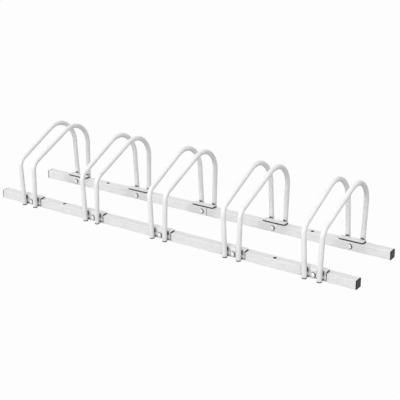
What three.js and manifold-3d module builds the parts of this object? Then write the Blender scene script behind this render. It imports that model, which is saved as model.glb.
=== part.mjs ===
// Floor bike rack: five holders, each of two welded tube hoops, bolted to two square floor rails.
// Millimetres, +Z up, +X along the rails, the front of the rack towards -Y.
import * as THREE from "three";
import { mergeVertices } from "three/addons/utils/BufferGeometryUtils.js";
import Module from "manifold-3d";

const wasm = await Module();
wasm.setup();

// Holders along the rack
const HOLDER_COUNT = 5;
const HOLDER_PITCH = 260;
const END_OVERHANG = 127; // outer holder's centre to the end of the rail tube

// Rails
const RAIL_SIZE = 27;
const RAIL_WALL = 1.2;
const RAIL_CORNER_RADIUS = 1.5;
const RAIL_SPACING = 225; // between the rails' centre lines
const SPIGOT_LENGTH = 36; // reduced end of the right half, inside the left half
const SPIGOT_CLEARANCE = 0.2;
const NECK_LENGTH = 1.6; // taper from the full section down to the spigot
const FIXING_HOLE_DIAMETER = 8.5;

// Rail end plugs
const PLUG_FLANGE = 3;
const PLUG_EDGE_CHAMFER = 0.8;
const PLUG_STEM_LENGTH = 16;
const PLUG_STEM_CLEARANCE = 0.6;
const PLUG_RIB_CLEARANCE = 0.15;
const PLUG_RIB_COUNT = 2;
const PLUG_STEM_WALL = 1.6;

// Hoops
const TUBE_DIAMETER = 15;
const TUBE_WALL = 1.2;
const HOOP_SPACING = 46; // between the two hoops of a holder, at the floor
const HOOP_SPLAY = THREE.MathUtils.degToRad(2.3); // each hoop leans outwards
const SHOULDER_HEIGHT = 150.5; // where the front leg's line meets the slope's
const SHOULDER_RADIUS = 30;
const PEAK_HEIGHT = 272; // where the slope's line meets the back leg's
const PEAK_RADIUS = 82;

// Tube caps
const CAP_FLANGE = 3;
const CAP_EDGE_CHAMFER = 0.8;
const CAP_STEM_LENGTH = 12;
const CAP_STEM_CLEARANCE = 0.2;
const CAP_STEM_TAPER = 0.6;
const CAP_SEAT_GAP = 0.1;

// Brackets
const BRACKET_THICKNESS = 2.5;
const BRACKET_OVERHANG = 8.5; // past the outer side of each tube, at the floor
const BRACKET_REACH = 22; // top flange, over the rail from its outer face
const BRACKET_BEND_RADIUS = 1.5; // inside the bend
const BRACKET_CORNER_RADIUS = 4;
const BRACKET_TOP_GAP = 2.4; // between the rail and the top flange
const BRACKET_FLOOR_GAP = 2;
const WELD_LENGTH = 12;
const WELD_RADIUS = 2.2;
const WELD_INSET = 1.9; // bead's line inside the side of the tube
const WELD_GAP = 0.25;

// Carriage bolts with a washer and a nut
const BOLT_DIAMETER = 6;
const BOLT_HEIGHT = 13; // above the floor
const BOLT_HEAD_DIAMETER = 16.5;
const BOLT_HEAD_HEIGHT = 3.6;
const BOLT_HEAD_RIM = 0.6;
const BOLT_NECK_SIZE = 6;
const BOLT_NECK_LENGTH = 4;
const BOLT_HOLE_CLEARANCE = 0.6;
const BOLT_PROTRUSION = 3; // thread past the nut
const BOLT_END_CHAMFER = 0.8;
const WASHER_DIAMETER = 12.5;
const WASHER_THICKNESS = 1.6;
const NUT_WIDTH = 10; // across the flats
const NUT_SIDES = 6;
const NUT_HEIGHT = 5;

// Facets
const TUBE_SIDES = 12;
const BORE_SIDES = 8;
const BOLT_SIDES = 10;
const HOLE_SIDES = 10;
const WELD_SIDES = 5;
const DOME_STEPS = 3;
const CORNER_STEPS = 2;
const ARC_DIVISIONS = 1; // each makes two facets
const BEND_STEP = THREE.MathUtils.degToRad(18.5);

// Sizes that follow from the driving dimensions
const tubeRadius = TUBE_DIAMETER / 2;
const boreRadius = tubeRadius - TUBE_WALL;
const railBore = RAIL_SIZE - 2 * RAIL_WALL;
const centreHolder = Math.floor(HOLDER_COUNT / 2);
const holderX = (holder) => (holder - (HOLDER_COUNT - 1) / 2) * HOLDER_PITCH;
const railEndX = holderX(HOLDER_COUNT - 1) + END_OVERHANG;
const seamX = holderX(centreHolder) + SPIGOT_LENGTH / 2;
const railFaceY = (RAIL_SPACING + RAIL_SIZE) / 2; // outer faces of the two rails
const legY = railFaceY + BRACKET_THICKNESS + tubeRadius;
const capBottom = tubeRadius * Math.tan(HOOP_SPLAY); // its low edge then meets the floor
const tubeEnd = capBottom + CAP_FLANGE + CAP_SEAT_GAP;
const bracketWidth = HOOP_SPACING + TUBE_DIAMETER + 2 * BRACKET_OVERHANG;

const zincTube = new THREE.MeshStandardMaterial({ color: 0xe4e6e8, roughness: 0.38, metalness: 0.85 });
const zincRail = new THREE.MeshStandardMaterial({ color: 0xcfd2d4, roughness: 0.5, metalness: 0.8 });
const zincPlate = new THREE.MeshStandardMaterial({ color: 0xdcdfe1, roughness: 0.45, metalness: 0.85 });
const brightZinc = new THREE.MeshStandardMaterial({ color: 0xeceef0, roughness: 0.25, metalness: 0.95 });
const blackPlastic = new THREE.MeshStandardMaterial({ color: 0x1c1d1f, roughness: 0.6, metalness: 0 });

// A closed geometry as a solid for cutting and joining.
function solid(geometry) {
  const bare = geometry.clone();
  bare.deleteAttribute("normal");
  bare.deleteAttribute("uv");
  const merged = mergeVertices(bare);
  return new wasm.Manifold(
    new wasm.Mesh({
      numProp: 3,
      vertProperties: merged.attributes.position.array,
      triVerts: new Uint32Array(merged.index.array),
    }),
  );
}

function geometryOf(shape) {
  const mesh = shape.getMesh();
  const geometry = new THREE.BufferGeometry();
  geometry.setAttribute("position", new THREE.BufferAttribute(mesh.vertProperties, 3));
  geometry.setIndex(new THREE.BufferAttribute(mesh.triVerts, 1));
  const faceted = geometry.toNonIndexed();
  faceted.computeVertexNormals();
  return faceted;
}

// Corners of a regular polygon whose flats face along the axes.
function polygon(radius, sides) {
  const corner = (i) => ((2 * i + 1) * Math.PI) / sides;
  return Array.from({ length: sides }, (_, i) =>
    new THREE.Vector2(radius * Math.cos(corner(i)), radius * Math.sin(corner(i))),
  );
}

// Points round a square with rounded corners.
function roundedSquare(size, radius) {
  const inset = size / 2 - radius;
  const points = [];
  for (let quarter = 0; quarter < 4; quarter++) {
    const middle = ((2 * quarter + 1) * Math.PI) / 4;
    const centre = new THREE.Vector2(Math.sign(Math.cos(middle)), Math.sign(Math.sin(middle)));
    for (let step = 0; step <= CORNER_STEPS; step++) {
      const angle = ((quarter + step / CORNER_STEPS) * Math.PI) / 2;
      const around = new THREE.Vector2(Math.cos(angle), Math.sin(angle)).multiplyScalar(radius);
      points.push(centre.clone().multiplyScalar(inset).add(around));
    }
  }
  return points;
}

// A skin over square sections along X, given as [x, size, corner radius]. The skin either joins its last
// section back to its first, as a tube's does, or closes both ends.
function squareSkin(sections, endless) {
  const loops = sections.map(([x, size, radius]) =>
    roundedSquare(size, radius).map((point) => new THREE.Vector3(x, point.x, point.y)),
  );
  const around = loops[0].length;
  const index = [];
  const joined = endless ? loops.length : loops.length - 1;
  for (let loop = 0; loop < joined; loop++) {
    for (let i = 0; i < around; i++) {
      const a = loop * around + i;
      const b = loop * around + ((i + 1) % around);
      const c = ((loop + 1) % loops.length) * around + i;
      const d = ((loop + 1) % loops.length) * around + ((i + 1) % around);
      index.push(a, b, d, a, d, c);
    }
  }
  if (!endless) {
    const last = (loops.length - 1) * around;
    for (let i = 1; i < around - 1; i++) {
      index.push(0, i + 1, i, last, last + i, last + i + 1);
    }
  }
  const geometry = new THREE.BufferGeometry().setFromPoints(loops.flat());
  geometry.setIndex(index);
  return geometry;
}

// A tube's skin from the outer sections: the bore follows inside them at the wall's thickness.
function squareTube(sections) {
  const bore = sections.map(([x, size, radius]) => [x, size - 2 * RAIL_WALL, radius - RAIL_WALL]);
  return squareSkin([...sections, ...bore.reverse()], true);
}

function cylinderAlongY(radius, length) {
  return new THREE.CylinderGeometry(radius, radius, length, HOLE_SIDES);
}

// Square neck hole through the front wall and round hole right through, for one carriage bolt.
function boltHoles() {
  const side = BOLT_NECK_SIZE + BOLT_HOLE_CLEARANCE;
  const neck = new THREE.BoxGeometry(side, 2 * BOLT_NECK_LENGTH, side).translate(0, -RAIL_SIZE / 2, 0);
  const shank = cylinderAlongY((BOLT_DIAMETER + BOLT_HOLE_CLEARANCE) / 2, 2 * RAIL_SIZE);
  return solid(neck).add(solid(shank)).translate([0, 0, BOLT_HEIGHT - RAIL_SIZE / 2]);
}

function railHoles() {
  const bolts = Array.from({ length: HOLDER_COUNT }, (_, i) => boltHoles().translate([holderX(i), 0, 0]));
  const upright = cylinderAlongY(FIXING_HOLE_DIAMETER / 2, 2 * RAIL_SIZE).rotateX(Math.PI / 2);
  const middleOfBay = holderX(HOLDER_COUNT - 1) - HOLDER_PITCH / 2;
  const fixings = [-1, 1].map((side) => solid(upright).translate([side * middleOfBay, 0, 0]));
  return wasm.Manifold.union([...bolts, ...fixings]);
}

// The left half, whose open end takes the spigot.
function leftRail() {
  const tube = squareTube([
    [-railEndX, RAIL_SIZE, RAIL_CORNER_RADIUS],
    [seamX, RAIL_SIZE, RAIL_CORNER_RADIUS],
  ]);
  return geometryOf(solid(tube).subtract(railHoles()));
}

// The right half, drawn down to a spigot that the centre holder's bolt pins in the left half.
function rightRail() {
  const spigot = railBore - 2 * SPIGOT_CLEARANCE;
  const spigotRadius = RAIL_CORNER_RADIUS - SPIGOT_CLEARANCE;
  const tube = squareTube([
    [seamX - SPIGOT_LENGTH, spigot, spigotRadius],
    [seamX, spigot, spigotRadius],
    [seamX + NECK_LENGTH, RAIL_SIZE, RAIL_CORNER_RADIUS],
    [railEndX, RAIL_SIZE, RAIL_CORNER_RADIUS],
  ]);
  return geometryOf(solid(tube).subtract(railHoles()));
}

// A push-in plug: a chamfered flange and a hollow stem with ribs that grip the bore. It faces +X.
function railPlug() {
  const stem = railBore - 2 * PLUG_STEM_CLEARANCE;
  const rib = railBore - 2 * PLUG_RIB_CLEARANCE;
  const hollow = stem - 2 * PLUG_STEM_WALL;
  const corner = RAIL_CORNER_RADIUS - RAIL_WALL;
  const ribPitch = PLUG_STEM_LENGTH / (PLUG_RIB_COUNT + 1);
  const sections = [
    [0, hollow, corner],
    [-PLUG_STEM_LENGTH, hollow, corner],
    [-PLUG_STEM_LENGTH, stem, corner],
  ];
  for (let i = PLUG_RIB_COUNT; i >= 1; i--) {
    sections.push([-(i + 0.5) * ribPitch, stem, corner], [-i * ribPitch, rib, corner]);
  }
  sections.push(
    [0, stem, corner],
    [0, RAIL_SIZE, RAIL_CORNER_RADIUS],
    [PLUG_FLANGE - PLUG_EDGE_CHAMFER, RAIL_SIZE, RAIL_CORNER_RADIUS],
    [PLUG_FLANGE, RAIL_SIZE - 2 * PLUG_EDGE_CHAMFER, RAIL_CORNER_RADIUS],
  );
  return geometryOf(solid(squareSkin(sections, false)));
}

// The centre line of a bent tube, as stations: few on the straights, close together round the bends.
class TubeLine extends THREE.Curve {
  constructor(stations) {
    super();
    this.stations = stations;
  }

  stationAt(u) {
    return this.stations[Math.round(u * (this.stations.length - 1))];
  }

  getPointAt(u) {
    return this.stationAt(u).point.clone();
  }

  getTangentAt(u) {
    return this.stationAt(u).tangent.clone();
  }
}

// Stations round one bend, between the straights that meet at its corner.
function bendStations(before, corner, after, radius) {
  const incoming = corner.clone().sub(before).normalize();
  const outgoing = after.clone().sub(corner).normalize();
  const turn = incoming.angleTo(outgoing);
  const axis = incoming.clone().cross(outgoing).normalize();
  const start = corner.clone().addScaledVector(incoming, -radius * Math.tan(turn / 2));
  const inwards = axis.clone().cross(incoming);
  const centre = start.clone().addScaledVector(inwards, radius);
  const steps = Math.ceil(turn / BEND_STEP);
  return Array.from({ length: steps + 1 }, (_, i) => {
    const angle = (turn * i) / steps;
    const spoke = inwards.clone().multiplyScalar(-radius).applyAxisAngle(axis, angle);
    return { point: centre.clone().add(spoke), tangent: incoming.clone().applyAxisAngle(axis, angle) };
  });
}

// Up the front leg, round the shoulder, up the slope, level over the crown and down the back leg.
function hoopLine() {
  const front = new THREE.Vector3(0, -legY, tubeEnd);
  const shoulder = new THREE.Vector3(0, -legY, SHOULDER_HEIGHT);
  const peak = new THREE.Vector3(0, legY, PEAK_HEIGHT);
  const back = new THREE.Vector3(0, legY, tubeEnd);
  const slope = peak.clone().sub(shoulder);
  const peakTurn = slope.angleTo(back.clone().sub(peak));
  // The peak's bend is drawn as two, which meet where the tube is level.
  const crown = new THREE.Vector3(0, legY, PEAK_HEIGHT + PEAK_RADIUS * (1 - Math.tan(peakTurn / 2)));
  const slopeTop = peak.clone().addScaledVector(slope, (crown.z - PEAK_HEIGHT) / slope.z);
  return new TubeLine([
    { point: front, tangent: new THREE.Vector3(0, 0, 1) },
    ...bendStations(front, shoulder, slopeTop, SHOULDER_RADIUS),
    ...bendStations(shoulder, slopeTop, crown, PEAK_RADIUS),
    ...bendStations(slopeTop, crown, back, PEAK_RADIUS).slice(1),
    { point: back, tangent: new THREE.Vector3(0, 0, -1) },
  ]);
}

// One bent tube, standing over both rails in its own plane.
function hoop() {
  const line = hoopLine();
  const section = new THREE.Shape(polygon(tubeRadius, TUBE_SIDES));
  section.holes.push(new THREE.Path(polygon(boreRadius, BORE_SIDES)));
  return new THREE.ExtrudeGeometry(section, { steps: line.stations.length - 1, extrudePath: line });
}

// A turned piece from a profile of [radius, height] pairs, with its axis along Z.
function turned(profile, sides) {
  const points = profile.map(([radius, height]) => new THREE.Vector2(radius, height));
  return new THREE.LatheGeometry(points, sides, Math.PI / sides).rotateX(Math.PI / 2);
}

// A push-in cap for a tube end, flange down.
function tubeCap() {
  const stem = boreRadius * Math.cos(Math.PI / BORE_SIDES) - CAP_STEM_CLEARANCE;
  return turned(
    [
      [0, capBottom],
      [tubeRadius - CAP_EDGE_CHAMFER, capBottom],
      [tubeRadius, capBottom + CAP_EDGE_CHAMFER],
      [tubeRadius, capBottom + CAP_FLANGE],
      [stem, capBottom + CAP_FLANGE],
      [stem - CAP_STEM_TAPER, capBottom + CAP_FLANGE + CAP_STEM_LENGTH],
      [0, capBottom + CAP_FLANGE + CAP_STEM_LENGTH],
    ],
    TUBE_SIDES,
  );
}

// A flat plate in the XY plane, reaching from Y 0 to its depth, with its far corners rounded.
function plate(width, depth, thickness) {
  const radius = BRACKET_CORNER_RADIUS;
  const outline = new THREE.Shape();
  outline.moveTo(-width / 2, 0);
  outline.lineTo(width / 2, 0);
  outline.absarc(width / 2 - radius, depth - radius, radius, 0, Math.PI / 2);
  outline.absarc(radius - width / 2, depth - radius, radius, Math.PI / 2, Math.PI);
  return new THREE.ExtrudeGeometry(outline, {
    depth: thickness,
    bevelEnabled: false,
    curveSegments: ARC_DIVISIONS,
  });
}

// The quarter bend between a bracket's flanges, round the X axis.
function bracketBend() {
  const section = new THREE.Shape();
  section.absarc(0, 0, BRACKET_BEND_RADIUS + BRACKET_THICKNESS, Math.PI / 2, Math.PI);
  section.absarc(0, 0, BRACKET_BEND_RADIUS, Math.PI, Math.PI / 2, true);
  const bend = new THREE.ExtrudeGeometry(section, {
    depth: bracketWidth,
    bevelEnabled: false,
    curveSegments: ARC_DIVISIONS,
  });
  return bend.translate(0, 0, -bracketWidth / 2).rotateX(Math.PI / 2).rotateZ(Math.PI / 2);
}

// Moves an upright solid from the origin to one leg's line at a bracket: side is -1 left and 1 right.
function placeOnLeg(shape, side) {
  return shape
    .rotate([0, THREE.MathUtils.radToDeg(side * HOOP_SPLAY), 0])
    .translate([(side * HOOP_SPACING) / 2, -BRACKET_THICKNESS - tubeRadius, 0]);
}

// The two weld beads of one leg, in the nooks between the tube and the bracket's outer face.
function welds(side) {
  const middle = (BRACKET_FLOOR_GAP + RAIL_SIZE) / 2;
  const profile = [
    [0, middle - WELD_LENGTH / 2],
    [WELD_RADIUS, middle - WELD_LENGTH / 4],
    [WELD_RADIUS, middle + WELD_LENGTH / 4],
    [0, middle + WELD_LENGTH / 2],
  ];
  const bead = solid(turned(profile, WELD_SIDES));
  const reach = tubeRadius - WELD_INSET;
  const pair = bead.translate([-reach, tubeRadius, 0]).add(bead.translate([reach, tubeRadius, 0]));
  return placeOnLeg(pair, side).trimByPlane([0, -1, 0], BRACKET_THICKNESS / 2);
}

function legSpace(side) {
  const radius = tubeRadius + WELD_GAP;
  const leg = turned([[0, 0], [radius, 0], [radius, 2 * RAIL_SIZE], [0, 2 * RAIL_SIZE]], TUBE_SIDES);
  return placeOnLeg(solid(leg), side);
}

// An angle bracket with its weld beads. The rail's outer face is at Y 0 and the floor at Z 0.
function bracket() {
  const bendZ = RAIL_SIZE + BRACKET_TOP_GAP - BRACKET_BEND_RADIUS;
  const upper = solid(plate(bracketWidth, BRACKET_REACH - BRACKET_BEND_RADIUS, BRACKET_THICKNESS));
  const lower = solid(
    plate(bracketWidth, bendZ - BRACKET_FLOOR_GAP, BRACKET_THICKNESS).rotateX(-Math.PI / 2),
  );
  const bend = solid(bracketBend());
  const body = wasm.Manifold.union([
    upper.translate([0, BRACKET_BEND_RADIUS, RAIL_SIZE + BRACKET_TOP_GAP]),
    lower.translate([0, -BRACKET_THICKNESS, bendZ]),
    bend.translate([0, BRACKET_BEND_RADIUS, bendZ]),
    welds(-1),
    welds(1),
  ]);
  const boltHole = boltHoles().translate([0, RAIL_SIZE / 2, RAIL_SIZE / 2]);
  return geometryOf(body.subtract(wasm.Manifold.union([legSpace(-1), legSpace(1), boltHole])));
}

// A carriage bolt tightened with its washer and nut, from under its head along +Y.
function bolt() {
  const headRadius = BOLT_HEAD_DIAMETER / 2;
  const shankRadius = BOLT_DIAMETER / 2;
  const domeHeight = BOLT_HEAD_HEIGHT - BOLT_HEAD_RIM;
  const domeRadius = (headRadius ** 2 + domeHeight ** 2) / (2 * domeHeight);
  const domeAngle = Math.asin(headRadius / domeRadius);
  const dome = Array.from({ length: DOME_STEPS + 1 }, (_, i) => {
    const angle = (domeAngle * i) / DOME_STEPS;
    return [domeRadius * Math.sin(angle), domeRadius * (1 - Math.cos(angle)) - BOLT_HEAD_HEIGHT];
  });
  const washerFace = RAIL_SIZE + BRACKET_THICKNESS;
  const nutFace = washerFace + WASHER_THICKNESS;
  const end = nutFace + NUT_HEIGHT + BOLT_PROTRUSION;
  const profile = [
    ...dome,
    [headRadius, 0],
    [shankRadius, 0],
    [shankRadius, washerFace],
    [WASHER_DIAMETER / 2, washerFace],
    [WASHER_DIAMETER / 2, nutFace],
    [shankRadius, nutFace],
    [shankRadius, end - BOLT_END_CHAMFER],
    [shankRadius - BOLT_END_CHAMFER, end],
    [0, end],
  ];
  const shank = turned(profile, BOLT_SIDES).rotateX(-Math.PI / 2);
  // The neck starts inside the head and the nut inside the washer, so that they join them.
  const neckLength = BOLT_NECK_LENGTH + BOLT_HEAD_RIM / 2;
  const neck = new THREE.BoxGeometry(BOLT_NECK_SIZE, neckLength, BOLT_NECK_SIZE);
  neck.translate(0, BOLT_NECK_LENGTH - neckLength / 2, 0);
  const nutRadius = NUT_WIDTH / (2 * Math.cos(Math.PI / NUT_SIDES));
  const nutLength = NUT_HEIGHT + WASHER_THICKNESS / 2;
  const nut = new THREE.CylinderGeometry(nutRadius, nutRadius, nutLength, NUT_SIDES);
  nut.translate(0, nutFace + NUT_HEIGHT - nutLength / 2, 0);
  return geometryOf(solid(shank).add(solid(neck)).add(solid(nut)));
}

function mesh(name, geometry, material, x = 0, y = 0, z = 0) {
  const piece = new THREE.Mesh(geometry, material);
  piece.name = name;
  piece.position.set(x, y, z);
  return piece;
}

// Two rails, each of two halves, with a plug in each end.
function rails() {
  const group = new THREE.Group();
  const left = leftRail();
  const right = rightRail();
  const plug = railPlug();
  for (const [place, side] of [["front", -1], ["back", 1]]) {
    const y = (side * RAIL_SPACING) / 2;
    const leftPlug = mesh(`rail_plug_${place}_left`, plug, blackPlastic, -railEndX, y, RAIL_SIZE / 2);
    leftPlug.rotation.z = Math.PI;
    group.add(
      mesh(`rail_${place}_left`, left, zincRail, 0, y, RAIL_SIZE / 2),
      mesh(`rail_${place}_right`, right, zincRail, 0, y, RAIL_SIZE / 2),
      mesh(`rail_plug_${place}_right`, plug, blackPlastic, railEndX, y, RAIL_SIZE / 2),
      leftPlug,
    );
  }
  return group;
}

const hoopGeometry = hoop();
const capGeometry = tubeCap();
const bracketGeometry = bracket();
const boltGeometry = bolt();

// One hoop with the caps on its two feet, leaning outwards: side is -1 left and 1 right.
function cappedHoop(holder, name, side) {
  const group = new THREE.Group();
  group.position.x = (side * HOOP_SPACING) / 2;
  group.rotation.y = side * HOOP_SPLAY;
  group.add(
    mesh(`${holder}_hoop_${name}`, hoopGeometry, zincTube),
    mesh(`${holder}_cap_front_${name}`, capGeometry, blackPlastic, 0, -legY),
    mesh(`${holder}_cap_back_${name}`, capGeometry, blackPlastic, 0, legY),
  );
  return group;
}

// Two hoops, the two brackets that they are welded to, and the bolts through the rails.
function holderGroup(index) {
  const holder = `holder_${index + 1}`;
  const group = new THREE.Group();
  group.position.x = holderX(index);
  const backBracket = mesh(`${holder}_bracket_back`, bracketGeometry, zincPlate, 0, railFaceY);
  backBracket.rotation.z = Math.PI;
  const frontSeat = -railFaceY - BRACKET_THICKNESS;
  const backSeat = (RAIL_SPACING - RAIL_SIZE) / 2;
  group.add(
    cappedHoop(holder, "left", -1),
    cappedHoop(holder, "right", 1),
    mesh(`${holder}_bracket_front`, bracketGeometry, zincPlate, 0, -railFaceY),
    backBracket,
    mesh(`${holder}_bolt_front`, boltGeometry, brightZinc, 0, frontSeat, BOLT_HEIGHT),
    mesh(`${holder}_bolt_back`, boltGeometry, brightZinc, 0, backSeat, BOLT_HEIGHT),
  );
  return group;
}

const rack = new THREE.Group();
rack.name = "floor_bike_rack";
rack.add(rails());
for (let index = 0; index < HOLDER_COUNT; index++) {
  rack.add(holderGroup(index));
}

export default rack;
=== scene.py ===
import math

import bmesh
import bpy
from mathutils import Matrix, Vector


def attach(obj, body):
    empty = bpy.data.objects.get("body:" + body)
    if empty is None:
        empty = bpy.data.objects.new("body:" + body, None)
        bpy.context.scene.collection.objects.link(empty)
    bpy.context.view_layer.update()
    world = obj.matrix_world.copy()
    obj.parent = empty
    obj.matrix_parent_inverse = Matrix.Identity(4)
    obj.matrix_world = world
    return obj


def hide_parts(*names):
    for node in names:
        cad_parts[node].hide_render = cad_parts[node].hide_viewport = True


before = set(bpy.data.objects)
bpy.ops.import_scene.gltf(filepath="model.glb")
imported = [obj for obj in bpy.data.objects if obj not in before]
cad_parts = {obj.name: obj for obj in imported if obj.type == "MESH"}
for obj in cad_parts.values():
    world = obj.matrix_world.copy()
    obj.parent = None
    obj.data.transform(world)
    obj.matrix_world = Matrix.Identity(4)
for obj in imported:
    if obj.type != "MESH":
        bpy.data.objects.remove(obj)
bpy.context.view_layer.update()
print("frame loaded:", len(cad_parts), "nodes")

rack = {
    "holders": 5,
    "pitch": 0.260,
    "railSpacing": 0.225,
    "railSize": 0.027,
    "railEnd": 0.647,
    "seamX": 0.018,
    "tubeRadius": 0.0075,
    "tubeWall": 0.0012,
    "hoopSpacing": 0.046,
    "splay": math.radians(2.3),
    "bracketThickness": 0.0025,
    "boltHeight": 0.013,
}
railY = rack["railSpacing"] / 2
railFaceY = railY + rack["railSize"] / 2
legY = railFaceY + rack["bracketThickness"] + rack["tubeRadius"]
holderX = [(i - (rack["holders"] - 1) / 2) * rack["pitch"] for i in range(rack["holders"])]
fixingX = holderX[-1] - rack["pitch"] / 2  # the floor screws go halfway between the outer holders

sameSpot = 1e-5  # metres, how far off a point still counts as there
mergeDistance = 1e-6
squareOn = 0.999  # cosine, for faces that look straight along an axis


def activate(piece):
    bpy.ops.object.select_all(action="DESELECT")
    piece.select_set(True)
    bpy.context.view_layer.objects.active = piece


def newPiece(name, size=(1, 1, 1)):
    piece = bpy.context.active_object
    piece.name = name
    piece.data.name = name
    piece.scale = size
    bpy.ops.object.transform_apply(location=True, rotation=True, scale=True)
    bpy.ops.object.mode_set(mode="EDIT")
    return piece


def pick(piece, kind, test):
    bpy.ops.mesh.select_mode(type=kind)
    bpy.ops.mesh.select_all(action="DESELECT")
    cage = bmesh.from_edit_mesh(piece.data)
    parts = {"VERT": cage.verts, "EDGE": cage.edges, "FACE": cage.faces}[kind]
    for part in parts:
        if test(part):
            part.select_set(True)
    bmesh.update_edit_mesh(piece.data)


def near(a, b):
    return abs(a - b) < sameSpot


def edgeAt(edge, axis, value):
    return all(near(vert.co[axis], value) for vert in edge.verts)


def edgeAlongX(edge):
    start, end = (vert.co for vert in edge.verts)
    return near(start.y, end.y) and near(start.z, end.z)


def facing(face, way):
    return face.normal.dot(Vector(way)) > squareOn


def extrude(x=0.0, y=0.0, z=0.0):
    bpy.ops.mesh.extrude_region_move(TRANSFORM_OT_translate={"value": (x, y, z)})


def resize(x=1.0, y=1.0, z=1.0, centre=(0, 0, 0)):
    bpy.ops.transform.resize(value=(x, y, z), center_override=centre)


def useModifier(piece, kind, **settings):
    activate(piece)
    modifier = piece.modifiers.new(kind.lower(), kind)
    for key, value in settings.items():
        setattr(modifier, key, value)
    bpy.ops.object.modifier_apply(modifier=modifier.name)


def softenEdges(piece, width, sharperThan=50, steps=2):
    useModifier(piece, "BEVEL", width=width, segments=steps, limit_method="ANGLE",
                angle_limit=math.radians(sharperThan))


def cutWith(piece, cutter, operation="DIFFERENCE"):
    useModifier(piece, "BOOLEAN", operation=operation, object=cutter, solver="EXACT",
                material_mode="TRANSFER")
    bpy.data.objects.remove(cutter)


def outwards(piece):
    activate(piece)
    bpy.ops.object.mode_set(mode="EDIT")
    bpy.ops.mesh.select_all(action="SELECT")
    bpy.ops.mesh.remove_doubles(threshold=mergeDistance)
    bpy.ops.mesh.normals_make_consistent(inside=False)
    bpy.ops.object.mode_set(mode="OBJECT")


def giveMaterials(piece, *materials):
    piece.data.materials.clear()
    for material in materials:
        piece.data.materials.append(material)


def finishShape(piece, smoothAngle=32, flatFaces=False):
    activate(piece)
    bpy.ops.object.shade_smooth_by_angle(angle=math.radians(smoothAngle))
    if flatFaces:  # keeps large flats flat between their soft edges
        useModifier(piece, "WEIGHTED_NORMAL", keep_sharp=True)


def placeCopy(source, name, nodes=(), place=(0, 0, 0), turn=(0, 0, 0)):
    activate(source)
    bpy.ops.object.duplicate(linked=False)
    copy = bpy.context.active_object
    copy.name = name
    copy.data.name = name
    copy.location = place
    copy.rotation_euler = turn
    bpy.ops.object.transform_apply(location=True, rotation=True, scale=True)
    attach(copy, "root")
    if nodes:
        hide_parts(*nodes)
    return copy


def putAway(*sources):
    for source in sources:
        bpy.data.objects.remove(source)


camera = {
    "place": (1.6719, -2.3840, 1.2243),
    "turnLeft": 0.5942,
    "lookDown": 0.3736,
    "roll": -0.0131,
    "lens": 91.10,
    "sensorWidth": 36,
}

bpy.ops.object.camera_add(location=camera["place"])
cameraObject = bpy.context.active_object
cameraObject.rotation_euler = (
    Matrix.Rotation(camera["turnLeft"], 3, "Z")
    @ Matrix.Rotation(math.pi / 2 - camera["lookDown"], 3, "X")
    @ Matrix.Rotation(camera["roll"], 3, "Z")
).to_euler()
cameraObject.data.lens = camera["lens"]
cameraObject.data.sensor_width = camera["sensorWidth"]
bpy.context.scene.camera = cameraObject
print("camera set")


def newMaterial(name):
    material = bpy.data.materials.new(name)
    material.use_nodes = True
    material.node_tree.nodes.clear()
    return material, material.node_tree.nodes, material.node_tree.links


def addNode(nodes, kind, **settings):
    node = nodes.new(kind)
    for key, value in settings.items():
        setattr(node, key, value)
    return node


# what all the zinc finishes share, lengths in metres
plating = {
    "cloudDetail": 5,
    "cloudRoughness": 0.62,
    "grainDetail": 3,
    "darkBelow": 0.34,
    "lightAbove": 0.66,
    "bumpDepth": 0.0002,
    "nookSamples": 8,
    "noPaintedShadeBelow": 0.003,  # height under which the nooks get no painted shade, as at the floor
    "fullPaintedShadeAbove": 0.006,
    "weldMiddle": rack["railSize"] / 2,  # height of the welds, where the nooks get less painted shade
    "weldInner": 0.002,  # up and down from there, the welds' smaller share of painted shade up to this far
    "weldOuter": 0.007,  # and all of the painted shade past this
}


def addPaintedShadeSpot(nodes, links, coords, shadeSpot):
    # how much painted shade each spot gets, from its distance to a middle that repeats along and
    # across the rack
    repeat = addNode(nodes, "ShaderNodeVectorMath", operation="WRAP")
    repeat.inputs[1].default_value = shadeSpot["repeatTo"]
    repeat.inputs[2].default_value = shadeSpot["repeatFrom"]
    distance = addNode(nodes, "ShaderNodeVectorMath", operation="DISTANCE")
    distance.inputs[1].default_value = shadeSpot["middle"]
    fade = addNode(nodes, "ShaderNodeMapRange")
    fade.inputs["From Min"].default_value = shadeSpot["inner"]
    fade.inputs["From Max"].default_value = shadeSpot["outer"]
    fade.inputs["To Min"].default_value = shadeSpot["inside"]
    fade.inputs["To Max"].default_value = shadeSpot["outside"]
    links.new(coords.outputs["Object"], repeat.inputs[0])
    links.new(repeat.outputs["Vector"], distance.inputs[0])
    links.new(distance.outputs["Value"], fade.inputs["Value"])
    return fade.outputs["Result"]


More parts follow.
